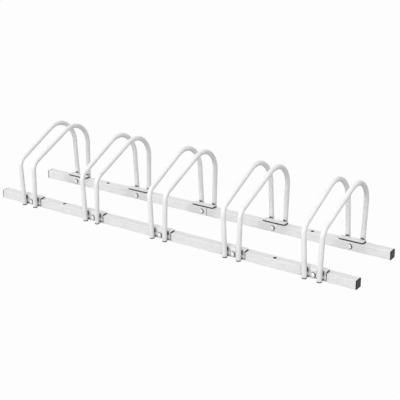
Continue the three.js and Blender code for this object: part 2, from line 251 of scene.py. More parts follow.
def zincFinish(name, look, shadeSpot=None):
    # cloudy plating, fine grain along the drawn length, and painted shade where two parts nearly
    # meet
    material, nodes, links = newMaterial(name)
    output = addNode(nodes, "ShaderNodeOutputMaterial")
    shader = addNode(nodes, "ShaderNodeBsdfPrincipled")
    shader.inputs["Metallic"].default_value = look["metallic"]
    shader.inputs["Specular IOR Level"].default_value = look["sheen"]
    coords = addNode(nodes, "ShaderNodeTexCoord")
    stretch = addNode(nodes, "ShaderNodeMapping")
    stretch.inputs["Scale"].default_value = look["grainStretch"]
    clouds = addNode(nodes, "ShaderNodeTexNoise")
    clouds.inputs["Scale"].default_value = look["cloudScale"]
    clouds.inputs["Detail"].default_value = plating["cloudDetail"]
    clouds.inputs["Roughness"].default_value = plating["cloudRoughness"]
    grain = addNode(nodes, "ShaderNodeTexNoise")
    grain.inputs["Scale"].default_value = look["grainScale"]
    grain.inputs["Detail"].default_value = plating["grainDetail"]
    blend = addNode(nodes, "ShaderNodeMix", data_type="FLOAT")
    blend.inputs["Factor"].default_value = look["grainShare"]
    tone = addNode(nodes, "ShaderNodeValToRGB")
    tone.color_ramp.elements[0].position = plating["darkBelow"]
    tone.color_ramp.elements[0].color = (*look["dark"], 1)
    tone.color_ramp.elements[1].position = plating["lightAbove"]
    tone.color_ramp.elements[1].color = (*look["light"], 1)
    gloss = addNode(nodes, "ShaderNodeMapRange")
    gloss.inputs["To Min"].default_value = look["roughest"]
    gloss.inputs["To Max"].default_value = look["smoothest"]
    bump = addNode(nodes, "ShaderNodeBump")
    bump.inputs["Strength"].default_value = look["bump"]
    bump.inputs["Distance"].default_value = plating["bumpDepth"]
    # painted shade: near-black is mixed into the colour where ambient occlusion finds other
    # surfaces close by, as shade in nooks and gaps
    nooks = addNode(nodes, "ShaderNodeAmbientOcclusion", samples=plating["nookSamples"])
    nooks.inputs["Distance"].default_value = look["paintedShadeReach"]
    paintedShade = addNode(nodes, "ShaderNodeMapRange")
    paintedShade.inputs["From Min"].default_value = look["paintedShadeFull"]
    paintedShade.inputs["From Max"].default_value = look["paintedShadeNone"]
    paintedShade.inputs["To Min"].default_value = 1
    paintedShade.inputs["To Max"].default_value = 0
    # the painted shade is left off near the floor and weakened at the welds' height
    height = addNode(nodes, "ShaderNodeSeparateXYZ")
    clearOfFloor = addNode(nodes, "ShaderNodeMapRange")
    clearOfFloor.inputs["From Min"].default_value = plating["noPaintedShadeBelow"]
    clearOfFloor.inputs["From Max"].default_value = plating["fullPaintedShadeAbove"]
    share = addNode(nodes, "ShaderNodeMath", operation="MULTIPLY")
    fromMiddle = addNode(nodes, "ShaderNodeMath", operation="SUBTRACT")
    fromMiddle.inputs[1].default_value = plating["weldMiddle"]
    either = addNode(nodes, "ShaderNodeMath", operation="ABSOLUTE")
    weldEnds = addNode(nodes, "ShaderNodeMapRange")
    weldEnds.inputs["From Min"].default_value = plating["weldInner"]
    weldEnds.inputs["From Max"].default_value = plating["weldOuter"]
    weldEnds.inputs["To Min"].default_value = look["paintedShadeAtWeld"]
    weldEnds.inputs["To Max"].default_value = 1
    paintedShadeAmount = addNode(nodes, "ShaderNodeMath", operation="MULTIPLY")
    # mixes the painted shade colour over the plating's colour
    paintedShadeMix = addNode(nodes, "ShaderNodeMix", data_type="RGBA")
    paintedShadeMix.inputs["B"].default_value = (*look["paintedShade"], 1)
    links.new(nooks.outputs["AO"], paintedShade.inputs["Value"])
    links.new(coords.outputs["Object"], height.inputs["Vector"])
    links.new(height.outputs["Z"], clearOfFloor.inputs["Value"])
    links.new(paintedShade.outputs["Result"], share.inputs[0])
    links.new(clearOfFloor.outputs["Result"], share.inputs[1])
    links.new(height.outputs["Z"], fromMiddle.inputs[0])
    links.new(fromMiddle.outputs["Value"], either.inputs[0])
    links.new(either.outputs["Value"], weldEnds.inputs["Value"])
    links.new(share.outputs["Value"], paintedShadeAmount.inputs[0])
    links.new(weldEnds.outputs["Result"], paintedShadeAmount.inputs[1])
    links.new(paintedShadeAmount.outputs["Value"], paintedShadeMix.inputs["Factor"])
    # a painted shade spot, where given, adds its darkening to the nook shade
    if shadeSpot:
        worst = addNode(nodes, "ShaderNodeMath", operation="MAXIMUM")
        links.new(paintedShadeAmount.outputs["Value"], worst.inputs[0])
        links.new(addPaintedShadeSpot(nodes, links, coords, shadeSpot), worst.inputs[1])
        links.new(worst.outputs["Value"], paintedShadeMix.inputs["Factor"])
    links.new(coords.outputs["Object"], clouds.inputs["Vector"])
    links.new(coords.outputs["Object"], stretch.inputs["Vector"])
    links.new(stretch.outputs["Vector"], grain.inputs["Vector"])
    links.new(clouds.outputs["Fac"], blend.inputs["A"])
    links.new(grain.outputs["Fac"], blend.inputs["B"])
    links.new(blend.outputs["Result"], tone.inputs["Fac"])
    links.new(blend.outputs["Result"], gloss.inputs["Value"])
    links.new(grain.outputs["Fac"], bump.inputs["Height"])
    links.new(tone.outputs["Color"], paintedShadeMix.inputs["A"])
    links.new(paintedShadeMix.outputs["Result"], shader.inputs["Base Color"])
    links.new(gloss.outputs["Result"], shader.inputs["Roughness"])
    links.new(bump.outputs["Normal"], shader.inputs["Normal"])
    links.new(shader.outputs["BSDF"], output.inputs["Surface"])
    return material


moulding = {
    "sparkDetail": 4,
    "scuffDetail": 6,
    "darkBelow": 0.45,
    "scuffedAbove": 0.75,
    "bumpDepth": 0.0001,
}


def plasticFinish(name, look):
    # moulded black plastic: fine spark texture, faint scuffs that are paler and rougher
    material, nodes, links = newMaterial(name)
    output = addNode(nodes, "ShaderNodeOutputMaterial")
    shader = addNode(nodes, "ShaderNodeBsdfPrincipled")
    shader.inputs["Specular IOR Level"].default_value = look["sheen"]
    coords = addNode(nodes, "ShaderNodeTexCoord")
    spark = addNode(nodes, "ShaderNodeTexNoise")
    spark.inputs["Scale"].default_value = look["sparkScale"]
    spark.inputs["Detail"].default_value = moulding["sparkDetail"]
    scuffs = addNode(nodes, "ShaderNodeTexNoise")
    scuffs.inputs["Scale"].default_value = look["scuffScale"]
    scuffs.inputs["Detail"].default_value = moulding["scuffDetail"]
    tone = addNode(nodes, "ShaderNodeValToRGB")
    tone.color_ramp.elements[0].position = moulding["darkBelow"]
    tone.color_ramp.elements[0].color = (*look["dark"], 1)
    tone.color_ramp.elements[1].position = moulding["scuffedAbove"]
    tone.color_ramp.elements[1].color = (*look["scuffed"], 1)
    gloss = addNode(nodes, "ShaderNodeMapRange")
    gloss.inputs["To Min"].default_value = look["smoothest"]
    gloss.inputs["To Max"].default_value = look["roughest"]
    bump = addNode(nodes, "ShaderNodeBump")
    bump.inputs["Strength"].default_value = look["bump"]
    bump.inputs["Distance"].default_value = moulding["bumpDepth"]
    links.new(coords.outputs["Object"], spark.inputs["Vector"])
    links.new(coords.outputs["Object"], scuffs.inputs["Vector"])
    links.new(scuffs.outputs["Fac"], tone.inputs["Fac"])
    links.new(scuffs.outputs["Fac"], gloss.inputs["Value"])
    links.new(spark.outputs["Fac"], bump.inputs["Height"])
    links.new(tone.outputs["Color"], shader.inputs["Base Color"])
    links.new(gloss.outputs["Result"], shader.inputs["Roughness"])
    links.new(bump.outputs["Normal"], shader.inputs["Normal"])
    links.new(shader.outputs["BSDF"], output.inputs["Surface"])
    return material


# in each zinc finish, the last five settings are painted shade in nooks: its near-black colour, how
# far the occlusion looks, the occlusion at which it is full and at which it is none, and its share
# at the welds' height
finishes = {
    "hoopZinc": {
        "metallic": 0.1, "sheen": 0.0, "dark": (0.9, 0.903, 0.906), "light": (0.97, 0.97, 0.97),
        "cloudScale": 28, "grainScale": 260, "grainStretch": (1, 1, 0.25), "grainShare": 0.3,
        "roughest": 0.46, "smoothest": 0.30, "bump": 0.05,
        "paintedShade": (0.015, 0.0145, 0.014), "paintedShadeReach": 0.009, "paintedShadeFull": 0.45, "paintedShadeNone": 0.86,
        "paintedShadeAtWeld": 0.35,
    },
    "railZinc": {
        "metallic": 0.2, "sheen": 0.3, "dark": (0.78, 0.783, 0.786), "light": (0.88, 0.88, 0.88),
        "cloudScale": 46, "grainScale": 220, "grainStretch": (0.12, 1, 1), "grainShare": 0.45,
        "roughest": 0.55, "smoothest": 0.38, "bump": 0.08,
        "paintedShade": (0.015, 0.0145, 0.014), "paintedShadeReach": 0.007, "paintedShadeFull": 0.62, "paintedShadeNone": 0.86,
        "paintedShadeAtWeld": 1,
    },
    "bracketZinc": {
        "metallic": 0.2, "sheen": 0.1, "dark": (0.74, 0.743, 0.746), "light": (0.97, 0.97, 0.97),
        "cloudScale": 130, "grainScale": 420, "grainStretch": (0.4, 1, 1), "grainShare": 0.4,
        "roughest": 0.5, "smoothest": 0.32, "bump": 0.08,
        "paintedShade": (0.015, 0.0145, 0.014), "paintedShadeReach": 0.014, "paintedShadeFull": 0.40, "paintedShadeNone": 0.95,
        "paintedShadeAtWeld": 0.45,
    },
    "weldZinc": {
        "metallic": 0.4, "sheen": 0.4, "dark": (0.45, 0.45, 0.455), "light": (0.82, 0.825, 0.83),
        "cloudScale": 420, "grainScale": 900, "grainStretch": (1, 1, 1), "grainShare": 0.4,
        "roughest": 0.6, "smoothest": 0.36, "bump": 0.35,
        "paintedShade": (0.05, 0.048, 0.045), "paintedShadeReach": 0.002, "paintedShadeFull": 0.1, "paintedShadeNone": 0.4,
        "paintedShadeAtWeld": 1,
    },
    "headZinc": {
        "metallic": 0.25, "sheen": 0.2, "dark": (0.88, 0.883, 0.886), "light": (0.96, 0.963, 0.966),
        "cloudScale": 240, "grainScale": 1200, "grainStretch": (1, 1, 1), "grainShare": 0.35,
        "roughest": 0.5, "smoothest": 0.36, "bump": 0.05,
        "paintedShade": (0.03, 0.029, 0.028), "paintedShadeReach": 0.008, "paintedShadeFull": 0.66, "paintedShadeNone": 0.95,
        "paintedShadeAtWeld": 1,
    },
    "nutZinc": {
        "metallic": 0.25, "sheen": 0.2, "dark": (0.80, 0.805, 0.81), "light": (0.96, 0.963, 0.966),
        "cloudScale": 240, "grainScale": 1200, "grainStretch": (1, 1, 1), "grainShare": 0.35,
        "roughest": 0.5, "smoothest": 0.36, "bump": 0.05,
        "paintedShade": (0.03, 0.029, 0.028), "paintedShadeReach": 0.005, "paintedShadeFull": 0.35, "paintedShadeNone": 0.86,
        "paintedShadeAtWeld": 1,
    },
    # near-black painted shade for the rails' insides and cut ends, the spigot and neck at the
    # joint, the fixing hole walls and the bracket's side against the rail, where there is only
    # shade
    "paintedShadeBlack": {
        "metallic": 0.0, "sheen": 0.1,
        "dark": (0.012, 0.0115, 0.011), "light": (0.035, 0.034, 0.033),
        "cloudScale": 60, "grainScale": 300, "grainStretch": (0.2, 1, 1), "grainShare": 0.4,
        "roughest": 0.8, "smoothest": 0.6, "bump": 0.1,
        "paintedShade": (0.008, 0.0078, 0.0075), "paintedShadeReach": 0.005, "paintedShadeFull": 0.2, "paintedShadeNone": 0.5,
        "paintedShadeAtWeld": 1,
    },
    "blackPlastic": {
        "sheen": 0.25, "dark": (0.014, 0.0143, 0.015), "scuffed": (0.034, 0.035, 0.037),
        "sparkScale": 2600, "scuffScale": 130,
        "smoothest": 0.36, "roughest": 0.56, "bump": 0.2,
    },
    "blackRubber": {
        "sheen": 0.06, "dark": (0.008, 0.0082, 0.0085), "scuffed": (0.02, 0.0205, 0.021),
        "sparkScale": 1900, "scuffScale": 160,
        "smoothest": 0.62, "roughest": 0.8, "bump": 0.15,
    },
}

paintedShadeSpots = {
    "fixingHole": {  # a ring of painted shade round each fixing hole, so the hole's dark reaches wider
        "repeatFrom": (0, 0, 0), "repeatTo": (2 * fixingX, rack["railSpacing"], 0),
        "middle": (fixingX, railY, 0),
        "inner": 0.0046, "outer": 0.0066, "inside": 1, "outside": 0,
    },
    "boltHead": {  # a crescent of painted shade on the upper right side of each head
        "repeatFrom": (-rack["pitch"] / 2, 0, 0), "repeatTo": (rack["pitch"] / 2, 0, 1),
        "middle": (-0.0024, 0, rack["boltHeight"] - 0.0008),
        "inner": 0.0070, "outer": 0.0085, "inside": 0, "outside": 0.9,
    },
}

hoopZinc = zincFinish("hoopZinc", finishes["hoopZinc"])
railZinc = zincFinish("railZinc", finishes["railZinc"], paintedShadeSpots["fixingHole"])
headZinc = zincFinish("headZinc", finishes["headZinc"], paintedShadeSpots["boltHead"])
bracketZinc = zincFinish("bracketZinc", finishes["bracketZinc"])
weldZinc = zincFinish("weldZinc", finishes["weldZinc"])
nutZinc = zincFinish("nutZinc", finishes["nutZinc"])
paintedShadeBlack = zincFinish("paintedShadeBlack", finishes["paintedShadeBlack"])
blackPlastic = plasticFinish("blackPlastic", finishes["blackPlastic"])
blackRubber = plasticFinish("blackRubber", finishes["blackRubber"])
print("finishes made")


# a hoop is a tube ring pulled up the leg, round the shoulder, up the slope, round the peak and down

hoop = {
    "sides": 40,
    "footZ": 0.0034,
    "shoulderZ": 0.1505,
    "shoulderRadius": 0.030,
    "shoulderSteps": 14,
    "peakZ": 0.2720,
    "peakRadius": 0.082,
    "peakSteps": 28,
    "rim": 0.0002,
    "rimAngle": 60,
}


def bendTube(at, turn, radius, heading, steps):
    # at: where the bend starts, heading: the way the tube runs there in the YZ plane
    inwards = Vector((0, heading.z, -heading.y))
    centre = at + inwards * radius
    bpy.ops.mesh.spin(steps=steps, angle=turn, center=centre, axis=(1, 0, 0))
    turned = Matrix.Rotation(-turn, 3, "X")
    return centre - (turned @ inwards) * radius, turned @ heading


def makeHoop():
    rise = math.atan2(hoop["peakZ"] - hoop["shoulderZ"], 2 * legY)
    shoulderTurn = math.pi / 2 - rise
    peakTurn = math.pi / 2 + rise
    shoulderTangent = hoop["shoulderRadius"] * math.tan(shoulderTurn / 2)
    peakTangent = hoop["peakRadius"] * math.tan(peakTurn / 2)
    slope = 2 * legY / math.cos(rise) - shoulderTangent - peakTangent
    foot = Vector((0, -legY, hoop["footZ"]))
    bpy.ops.mesh.primitive_circle_add(
        vertices=hoop["sides"], radius=rack["tubeRadius"], fill_type="NOTHING", location=foot)
    piece = newPiece("hoop")
    heading = Vector((0, 0, 1))
    at = Vector((0, -legY, hoop["shoulderZ"] - shoulderTangent))
    extrude(z=at.z - foot.z)
    at, heading = bendTube(at, shoulderTurn, hoop["shoulderRadius"], heading, hoop["shoulderSteps"])
    extrude(*(heading * slope))
    at = at + heading * slope
    at, heading = bendTube(at, peakTurn, hoop["peakRadius"], heading, hoop["peakSteps"])
    extrude(z=hoop["footZ"] - at.z)
    bpy.ops.object.mode_set(mode="OBJECT")
    outwards(piece)
    useModifier(piece, "SOLIDIFY", thickness=rack["tubeWall"], offset=-1, use_even_offset=True)
    softenEdges(piece, hoop["rim"], hoop["rimAngle"])
    giveMaterials(piece, hoopZinc)
    finishShape(piece)
    return piece


# a tube cap has a flange the width of the tube, a rounded edge below and a tapered stem above

cap = {
    "flange": 0.003,
    "edge": 0.0008,
    "edgeSteps": 4,
    "stemRadius": 0.0056,
    "stemLength": 0.012,
    "stemTaper": 0.88,
}
capBottom = rack["tubeRadius"] * math.tan(rack["splay"])


def makeCap():
    bpy.ops.mesh.primitive_cylinder_add(
        vertices=hoop["sides"], radius=rack["tubeRadius"], depth=cap["flange"],
        location=(0, 0, capBottom + cap["flange"] / 2))
    piece = newPiece("cap")
    top = capBottom + cap["flange"]
    pick(piece, "EDGE", lambda e: edgeAt(e, 2, capBottom))
    bpy.ops.mesh.bevel(offset=cap["edge"], segments=cap["edgeSteps"])
    pick(piece, "FACE", lambda f: facing(f, (0, 0, 1)))
    bpy.ops.mesh.inset(thickness=rack["tubeRadius"] - cap["stemRadius"])
    extrude(z=cap["stemLength"])
    resize(cap["stemTaper"], cap["stemTaper"], 1, (0, 0, top))
    bpy.ops.object.mode_set(mode="OBJECT")
    giveMaterials(piece, blackRubber)
    finishShape(piece)
    return piece


hoopShape = makeHoop()
capShape = makeCap()
sides = {"left": -1, "right": 1}
places = {"front": -1, "back": 1}
for i, x in enumerate(holderX):
    for side, way in sides.items():
        lean = (0, way * rack["splay"], 0)
        footX = x + way * rack["hoopSpacing"] / 2
        placeCopy(hoopShape, f"hoop{i + 1}{side.title()}", [f"holder_{i + 1}_hoop_{side}"],
                  (footX, 0, 0), lean)
        for place, towards in places.items():
            placeCopy(capShape, f"cap{i + 1}{place.title()}{side.title()}",
                      [f"holder_{i + 1}_cap_{place}_{side}"], (footX, towards * legY, 0), lean)
putAway(hoopShape, capShape)
print("hoops and caps placed")


# a rail is square tube in two halves, the right one drawn down to a spigot at the joint

rail = {
    "wall": 0.0012,
    "corner": 0.0015,
    "cornerSteps": 4,
    "neck": 0.0016,
    "spigotLength": 0.036,
    "spigotSize": 0.0242,
    "fixingHole": 0.0085,
    "neckHole": 0.0066,
    "shankHole": 0.0066,
    "holeSides": 24,
    "rim": 0.00025,
}


def railCutters():
    # the rail is cut while it lies along the X axis
    cutters = []
    boltZ = rack["boltHeight"] - rack["railSize"] / 2
    for x in holderX:
        bpy.ops.mesh.primitive_cube_add(
            size=rail["neckHole"], location=(x, -rack["railSize"] / 2, boltZ))
        cutters.append(bpy.context.active_object)
        bpy.ops.mesh.primitive_cylinder_add(
            vertices=rail["holeSides"], radius=rail["shankHole"] / 2, depth=2 * rack["railSize"],
            location=(x, 0, boltZ), rotation=(math.pi / 2, 0, 0))
        cutters.append(bpy.context.active_object)
    for x in (-fixingX, fixingX):
        bpy.ops.mesh.primitive_cylinder_add(
            vertices=rail["holeSides"], radius=rail["fixingHole"] / 2, depth=2 * rack["railSize"],
            location=(x, 0, 0))
        # the fixing hole walls take the near-black painted shade
        giveMaterials(bpy.context.active_object, paintedShadeBlack)
        cutters.append(bpy.context.active_object)
    return cutters


def squareTube(name, startX, endX):
    bpy.ops.mesh.primitive_cube_add(size=1, location=((startX + endX) / 2, 0, 0))
    piece = newPiece(name, (endX - startX, rack["railSize"], rack["railSize"]))
    pick(piece, "FACE", lambda f: facing(f, (1, 0, 0)) or facing(f, (-1, 0, 0)))
    bpy.ops.mesh.delete(type="FACE")
    pick(piece, "EDGE", edgeAlongX)
    bpy.ops.mesh.bevel(offset=rail["corner"], segments=rail["cornerSteps"])
    # the second finish is the near-black painted shade, for the inside and the joint
    giveMaterials(piece, railZinc, paintedShadeBlack)
    return piece


def closeTube(piece):
    bpy.ops.object.mode_set(mode="OBJECT")
    outwards(piece)
    # the inside shell and the cut rims take the near-black painted shade
    useModifier(piece, "SOLIDIFY", thickness=rail["wall"], offset=-1, use_even_offset=True,
                material_offset=1, material_offset_rim=1)
    for cutter in railCutters():
        cutWith(piece, cutter)
    softenEdges(piece, rail["rim"])
    finishShape(piece, flatFaces=True)
    return piece


def makeLeftRail():
    return closeTube(squareTube("leftRail", -rack["railEnd"], rack["seamX"]))


def makeRightRail():
    neckX = rack["seamX"] + rail["neck"]
    piece = squareTube("rightRail", neckX, rack["railEnd"])
    pick(piece, "EDGE", lambda e: edgeAt(e, 0, neckX))
    shrink = rail["spigotSize"] / rack["railSize"]
    bpy.ops.mesh.extrude_edges_move(TRANSFORM_OT_translate={"value": (-rail["neck"], 0, 0)})
    resize(1, shrink, shrink)
    bpy.ops.mesh.extrude_edges_move(TRANSFORM_OT_translate={"value": (-rail["spigotLength"], 0, 0)})
    # the spigot and its neck take the near-black painted shade, so the joint shows as a dark gap
    pick(piece, "FACE", lambda f: f.calc_center_median().x < neckX)
    piece.active_material_index = 1
    bpy.ops.object.material_slot_assign()
    return closeTube(piece)


# a rail plug has a square flange with a soft edge and a shallow dished face, and a ribbed stem

plug = {
    "flange": 0.003,
    "edge": 0.0008,
    "edgeSteps": 3,
    "dishMargin": 0.0013,
    "dishDepth": 0.0004,
    "dishSlope": 0.95,
    "stemLength": 0.016,
    "stemSize": 0.0234,
    "ribSize": 0.0243,
    "ribs": 2,
    "ribSlope": 0.3,  # share of a rib's length on its steep side
}


def makePlug():
    bpy.ops.mesh.primitive_cube_add(size=1, location=(plug["flange"] / 2, 0, 0))
    piece = newPiece("plug", (plug["flange"], rack["railSize"], rack["railSize"]))
    pick(piece, "EDGE", edgeAlongX)
    bpy.ops.mesh.bevel(offset=rail["corner"], segments=rail["cornerSteps"])
    pick(piece, "EDGE", lambda e: edgeAt(e, 0, plug["flange"]))
    bpy.ops.mesh.bevel(offset=plug["edge"], segments=plug["edgeSteps"])
    pick(piece, "FACE", lambda f: facing(f, (1, 0, 0)))
    bpy.ops.mesh.inset(thickness=plug["dishMargin"])
    extrude(x=-plug["dishDepth"])
    resize(1, plug["dishSlope"], plug["dishSlope"])
    pick(piece, "FACE", lambda f: facing(f, (-1, 0, 0)) and near(f.calc_center_median().x, 0))
    bpy.ops.mesh.inset(thickness=(rack["railSize"] - plug["stemSize"]) / 2)
    step = plug["stemLength"] / (2 * plug["ribs"] + 2)
    swell = plug["ribSize"] / plug["stemSize"]
    for rib in range(plug["ribs"]):
        extrude(x=-step)
        extrude(x=-step * plug["ribSlope"])
        resize(1, swell, swell)
        extrude(x=-step * (1 - plug["ribSlope"]))
        resize(1, 1 / swell, 1 / swell)
    extrude(x=-2 * step)
    bpy.ops.object.mode_set(mode="OBJECT")
    giveMaterials(piece, blackPlastic)
    finishShape(piece, flatFaces=True)
    return piece


leftRailShape = makeLeftRail()
rightRailShape = makeRightRail()
plugShape = makePlug()
for place, towards in places.items():
    lift = (0, towards * railY, rack["railSize"] / 2)
    placeCopy(leftRailShape, f"rail{place.title()}Left", [f"rail_{place}_left"], lift)
    placeCopy(rightRailShape, f"rail{place.title()}Right", [f"rail_{place}_right"], lift)
    for side, way in sides.items():
        placeCopy(plugShape, f"plug{place.title()}{side.title()}", [f"rail_plug_{place}_{side}"],
                  (way * rack["railEnd"], lift[1], lift[2]), (0, 0, 0 if way > 0 else math.pi))
putAway(leftRailShape, rightRailShape, plugShape)
print("rails and plugs placed")


# a bracket is folded sheet with rounded corners

bracket = {
    "width": 0.078,
    "reach": 0.022,
    "bend": 0.0015,
    "bendSteps": 5,
    "corner": 0.004,
    "cornerSteps": 5,
    "topGap": 0.0024,
    "floorGap": 0.002,
    "edge": 0.0004,
    "boltHole": 0.0066,
}


def makeBracket():
    foldZ = rack["railSize"] + bracket["topGap"] - bracket["bend"]
    middleZ = (bracket["floorGap"] + foldZ) / 2
    bpy.ops.mesh.primitive_plane_add(size=1, location=(0, 0, middleZ), rotation=(math.pi / 2, 0, 0))
    piece = newPiece("bracket", (bracket["width"], foldZ - bracket["floorGap"], 1))
    pick(piece, "EDGE", lambda e: edgeAt(e, 2, foldZ))
    bpy.ops.mesh.spin(
        steps=bracket["bendSteps"], angle=math.pi / 2,
        center=(0, bracket["bend"], foldZ), axis=(1, 0, 0))
    extrude(y=bracket["reach"] - bracket["bend"])
    lowZ = bracket["floorGap"]
    pick(piece, "VERT", lambda v: near(abs(v.co.x), bracket["width"] / 2)
         and (near(v.co.z, lowZ) or near(v.co.y, bracket["reach"])))
    bpy.ops.mesh.bevel(offset=bracket["corner"], segments=bracket["cornerSteps"], affect="VERTICES")
    bpy.ops.object.mode_set(mode="OBJECT")
    # the second finish goes on the bracket's side against the rail and under its top flange, as
    # near-black painted shade
    giveMaterials(piece, bracketZinc, paintedShadeBlack)
    useModifier(piece, "SOLIDIFY", thickness=rack["bracketThickness"], offset=1,
                use_even_offset=True, material_offset=1)
    outwards(piece)
    bpy.ops.mesh.primitive_cube_add(size=bracket["boltHole"], location=(0, 0, rack["boltHeight"]))
    cutWith(piece, bpy.context.active_object)
    softenEdges(piece, bracket["edge"])
    finishShape(piece, flatFaces=True)
    return piece


# the welds are rippled beads up each side of the two legs

weld = {
    "length": 0.012,
    "radius": 0.0022,
    "inset": 0.0019,
    "sides": 14,
    "ripples": 9,
    "rippleDepth": 0.12,
    "endShare": 0.45,  # of the full radius, at both ends
    "smoothAngle": 60,
}


def makeWelds():
    middleZ = (bracket["floorGap"] + rack["railSize"]) / 2
    legMiddleY = -rack["bracketThickness"] - rack["tubeRadius"]
    nookX = rack["tubeRadius"] - weld["inset"]
    beads = []
    for way in sides.values():
        for nook in sides.values():
            bpy.ops.mesh.primitive_circle_add(
                vertices=weld["sides"], radius=weld["radius"] * weld["endShare"], fill_type="NGON",
                location=(0, 0, -weld["length"] / 2))
            bead = newPiece("bead")
            pick(bead, "FACE", lambda f: True)
            level = weld["endShare"]
            rings = 2 * weld["ripples"]
            for ring in range(1, rings + 1):
                along = ring / rings
                swell = max(math.sqrt(max(1 - (2 * along - 1) ** 2, 0)), weld["endShare"])
                swell *= 1 - weld["rippleDepth"] * (ring % 2)
                extrude(z=weld["length"] / rings)
                resize(swell / level, swell / level, 1)
                level = swell
            bpy.ops.object.mode_set(mode="OBJECT")
            outwards(bead)
            bead.location = (nook * nookX, rack["tubeRadius"], middleZ)
            bpy.ops.object.transform_apply(location=True, rotation=True, scale=True)
            bead.rotation_euler = (0, way * rack["splay"], 0)  # leans with the leg
            bead.location = (way * rack["hoopSpacing"] / 2, legMiddleY, 0)
            bpy.ops.object.transform_apply(location=True, rotation=True, scale=True)
            beads.append(bead)
    activate(beads[0])
    for bead in beads:
        bead.select_set(True)
    bpy.ops.object.join()
    beads[0].name = "welds"
    giveMaterials(beads[0], weldZinc)
    finishShape(beads[0], weld["smoothAngle"])
    return beads[0]


# a carriage bolt has a domed head, a square neck and thread past the nut
# its washer and its nut are pieces of their own

bolt = {
    "sides": 32,
    "radius": 0.003,
    "headRadius": 0.00825,
    "headHeight": 0.0036,
    "headRim": 0.0006,
    "domeSteps": 7,
    "neckSize": 0.006,
    "neckLength": 0.004,
    "protrusion": 0.003,
    "tip": 0.0008,
    "threadPitch": 0.001,
    "threadDepth": 0.0004,
    "washerRadius": 0.00625,
    "washerThickness": 0.0016,
    "nutWidth": 0.010,
    "nutHeight": 0.005,
    "nutChamfer": 0.0007,
    "nutChamferSides": 48,
    "nutChamferShare": 0.995,  # of the corners' radius, so that the corners are just cut
    "nutTurn": 23,  # degrees that each holder's nuts stand turned more than the last one's
    "nutTurnAcross": 11,  # and more at the back, less at the front
    "threadClearance": 0.0001,
    "washerRim": 0.00025,
    "nutRim": 0.00015,
    "nutRimAngle": 40,
    "smoothAngle": 38,
}
washerFace = rack["railSize"] + rack["bracketThickness"]
nutFace = washerFace + bolt["washerThickness"]


def makeBolt():
    # the disc under the head, then the dome ring by ring towards -Y
    bpy.ops.mesh.primitive_circle_add(
        vertices=bolt["sides"], radius=bolt["headRadius"], fill_type="NGON",
        rotation=(math.pi / 2, 0, 0))
    piece = newPiece("bolt")
    pick(piece, "FACE", lambda f: True)
    extrude(y=-bolt["headRim"])
    domeHeight = bolt["headHeight"] - bolt["headRim"]
    domeRadius = (bolt["headRadius"] ** 2 + domeHeight ** 2) / (2 * domeHeight)
    wholeAngle = math.asin(bolt["headRadius"] / domeRadius)
    radius = bolt["headRadius"]
    depth = domeRadius * math.cos(wholeAngle)
    for step in range(1, bolt["domeSteps"]):
        angle = wholeAngle * (1 - step / bolt["domeSteps"])
        rise = domeRadius * math.cos(angle) - depth
        depth += rise
        extrude(y=-rise)
        ringRadius = domeRadius * math.sin(angle)
        resize(ringRadius / radius, 1, ringRadius / radius)
        radius = ringRadius
    bpy.ops.mesh.poke(offset=domeRadius - depth)
    # the shank from under the head, threaded past the nut, with a chamfered tip
    pick(piece, "FACE", lambda f: facing(f, (0, 1, 0)) and near(f.calc_center_median().y, 0))
    bpy.ops.mesh.inset(thickness=bolt["headRadius"] - bolt["radius"])
    extrude(y=nutFace + bolt["nutHeight"] - bolt["threadPitch"])
    core = 1 - bolt["threadDepth"] / bolt["radius"]
    turns = round(bolt["protrusion"] / bolt["threadPitch"])
    for turn in range(turns):
        extrude(y=bolt["threadPitch"] / 2)
        resize(core, 1, core)
        extrude(y=bolt["threadPitch"] / 2)
        resize(1 / core, 1, 1 / core)
    extrude(y=bolt["threadPitch"])
    tip = 1 - bolt["tip"] / bolt["radius"]
    resize(tip, 1, tip)
    bpy.ops.object.mode_set(mode="OBJECT")
    outwards(piece)
    neckLength = bolt["neckLength"] + bolt["headRim"] / 2
    bpy.ops.mesh.primitive_cube_add(size=1, location=(0, bolt["neckLength"] - neckLength / 2, 0))
    neck = newPiece("neck", (bolt["neckSize"], neckLength, bolt["neckSize"]))
    bpy.ops.object.mode_set(mode="OBJECT")
    cutWith(piece, neck, "UNION")
    giveMaterials(piece, headZinc)
    finishShape(piece, bolt["smoothAngle"])
    return piece


def makeWasher():
    bpy.ops.mesh.primitive_circle_add(
        vertices=bolt["sides"], radius=bolt["washerRadius"], fill_type="NOTHING",
        location=(0, washerFace, 0), rotation=(math.pi / 2, 0, 0))
    piece = newPiece("washer")
    shrink = (bolt["radius"] + bolt["threadClearance"]) / bolt["washerRadius"]
    bpy.ops.mesh.extrude_edges_move()
    resize(shrink, 1, shrink)
    bpy.ops.object.mode_set(mode="OBJECT")
    useModifier(piece, "SOLIDIFY", thickness=bolt["washerThickness"], offset=-1)
    outwards(piece)
    softenEdges(piece, bolt["washerRim"])
    giveMaterials(piece, nutZinc)
    finishShape(piece)
    return piece


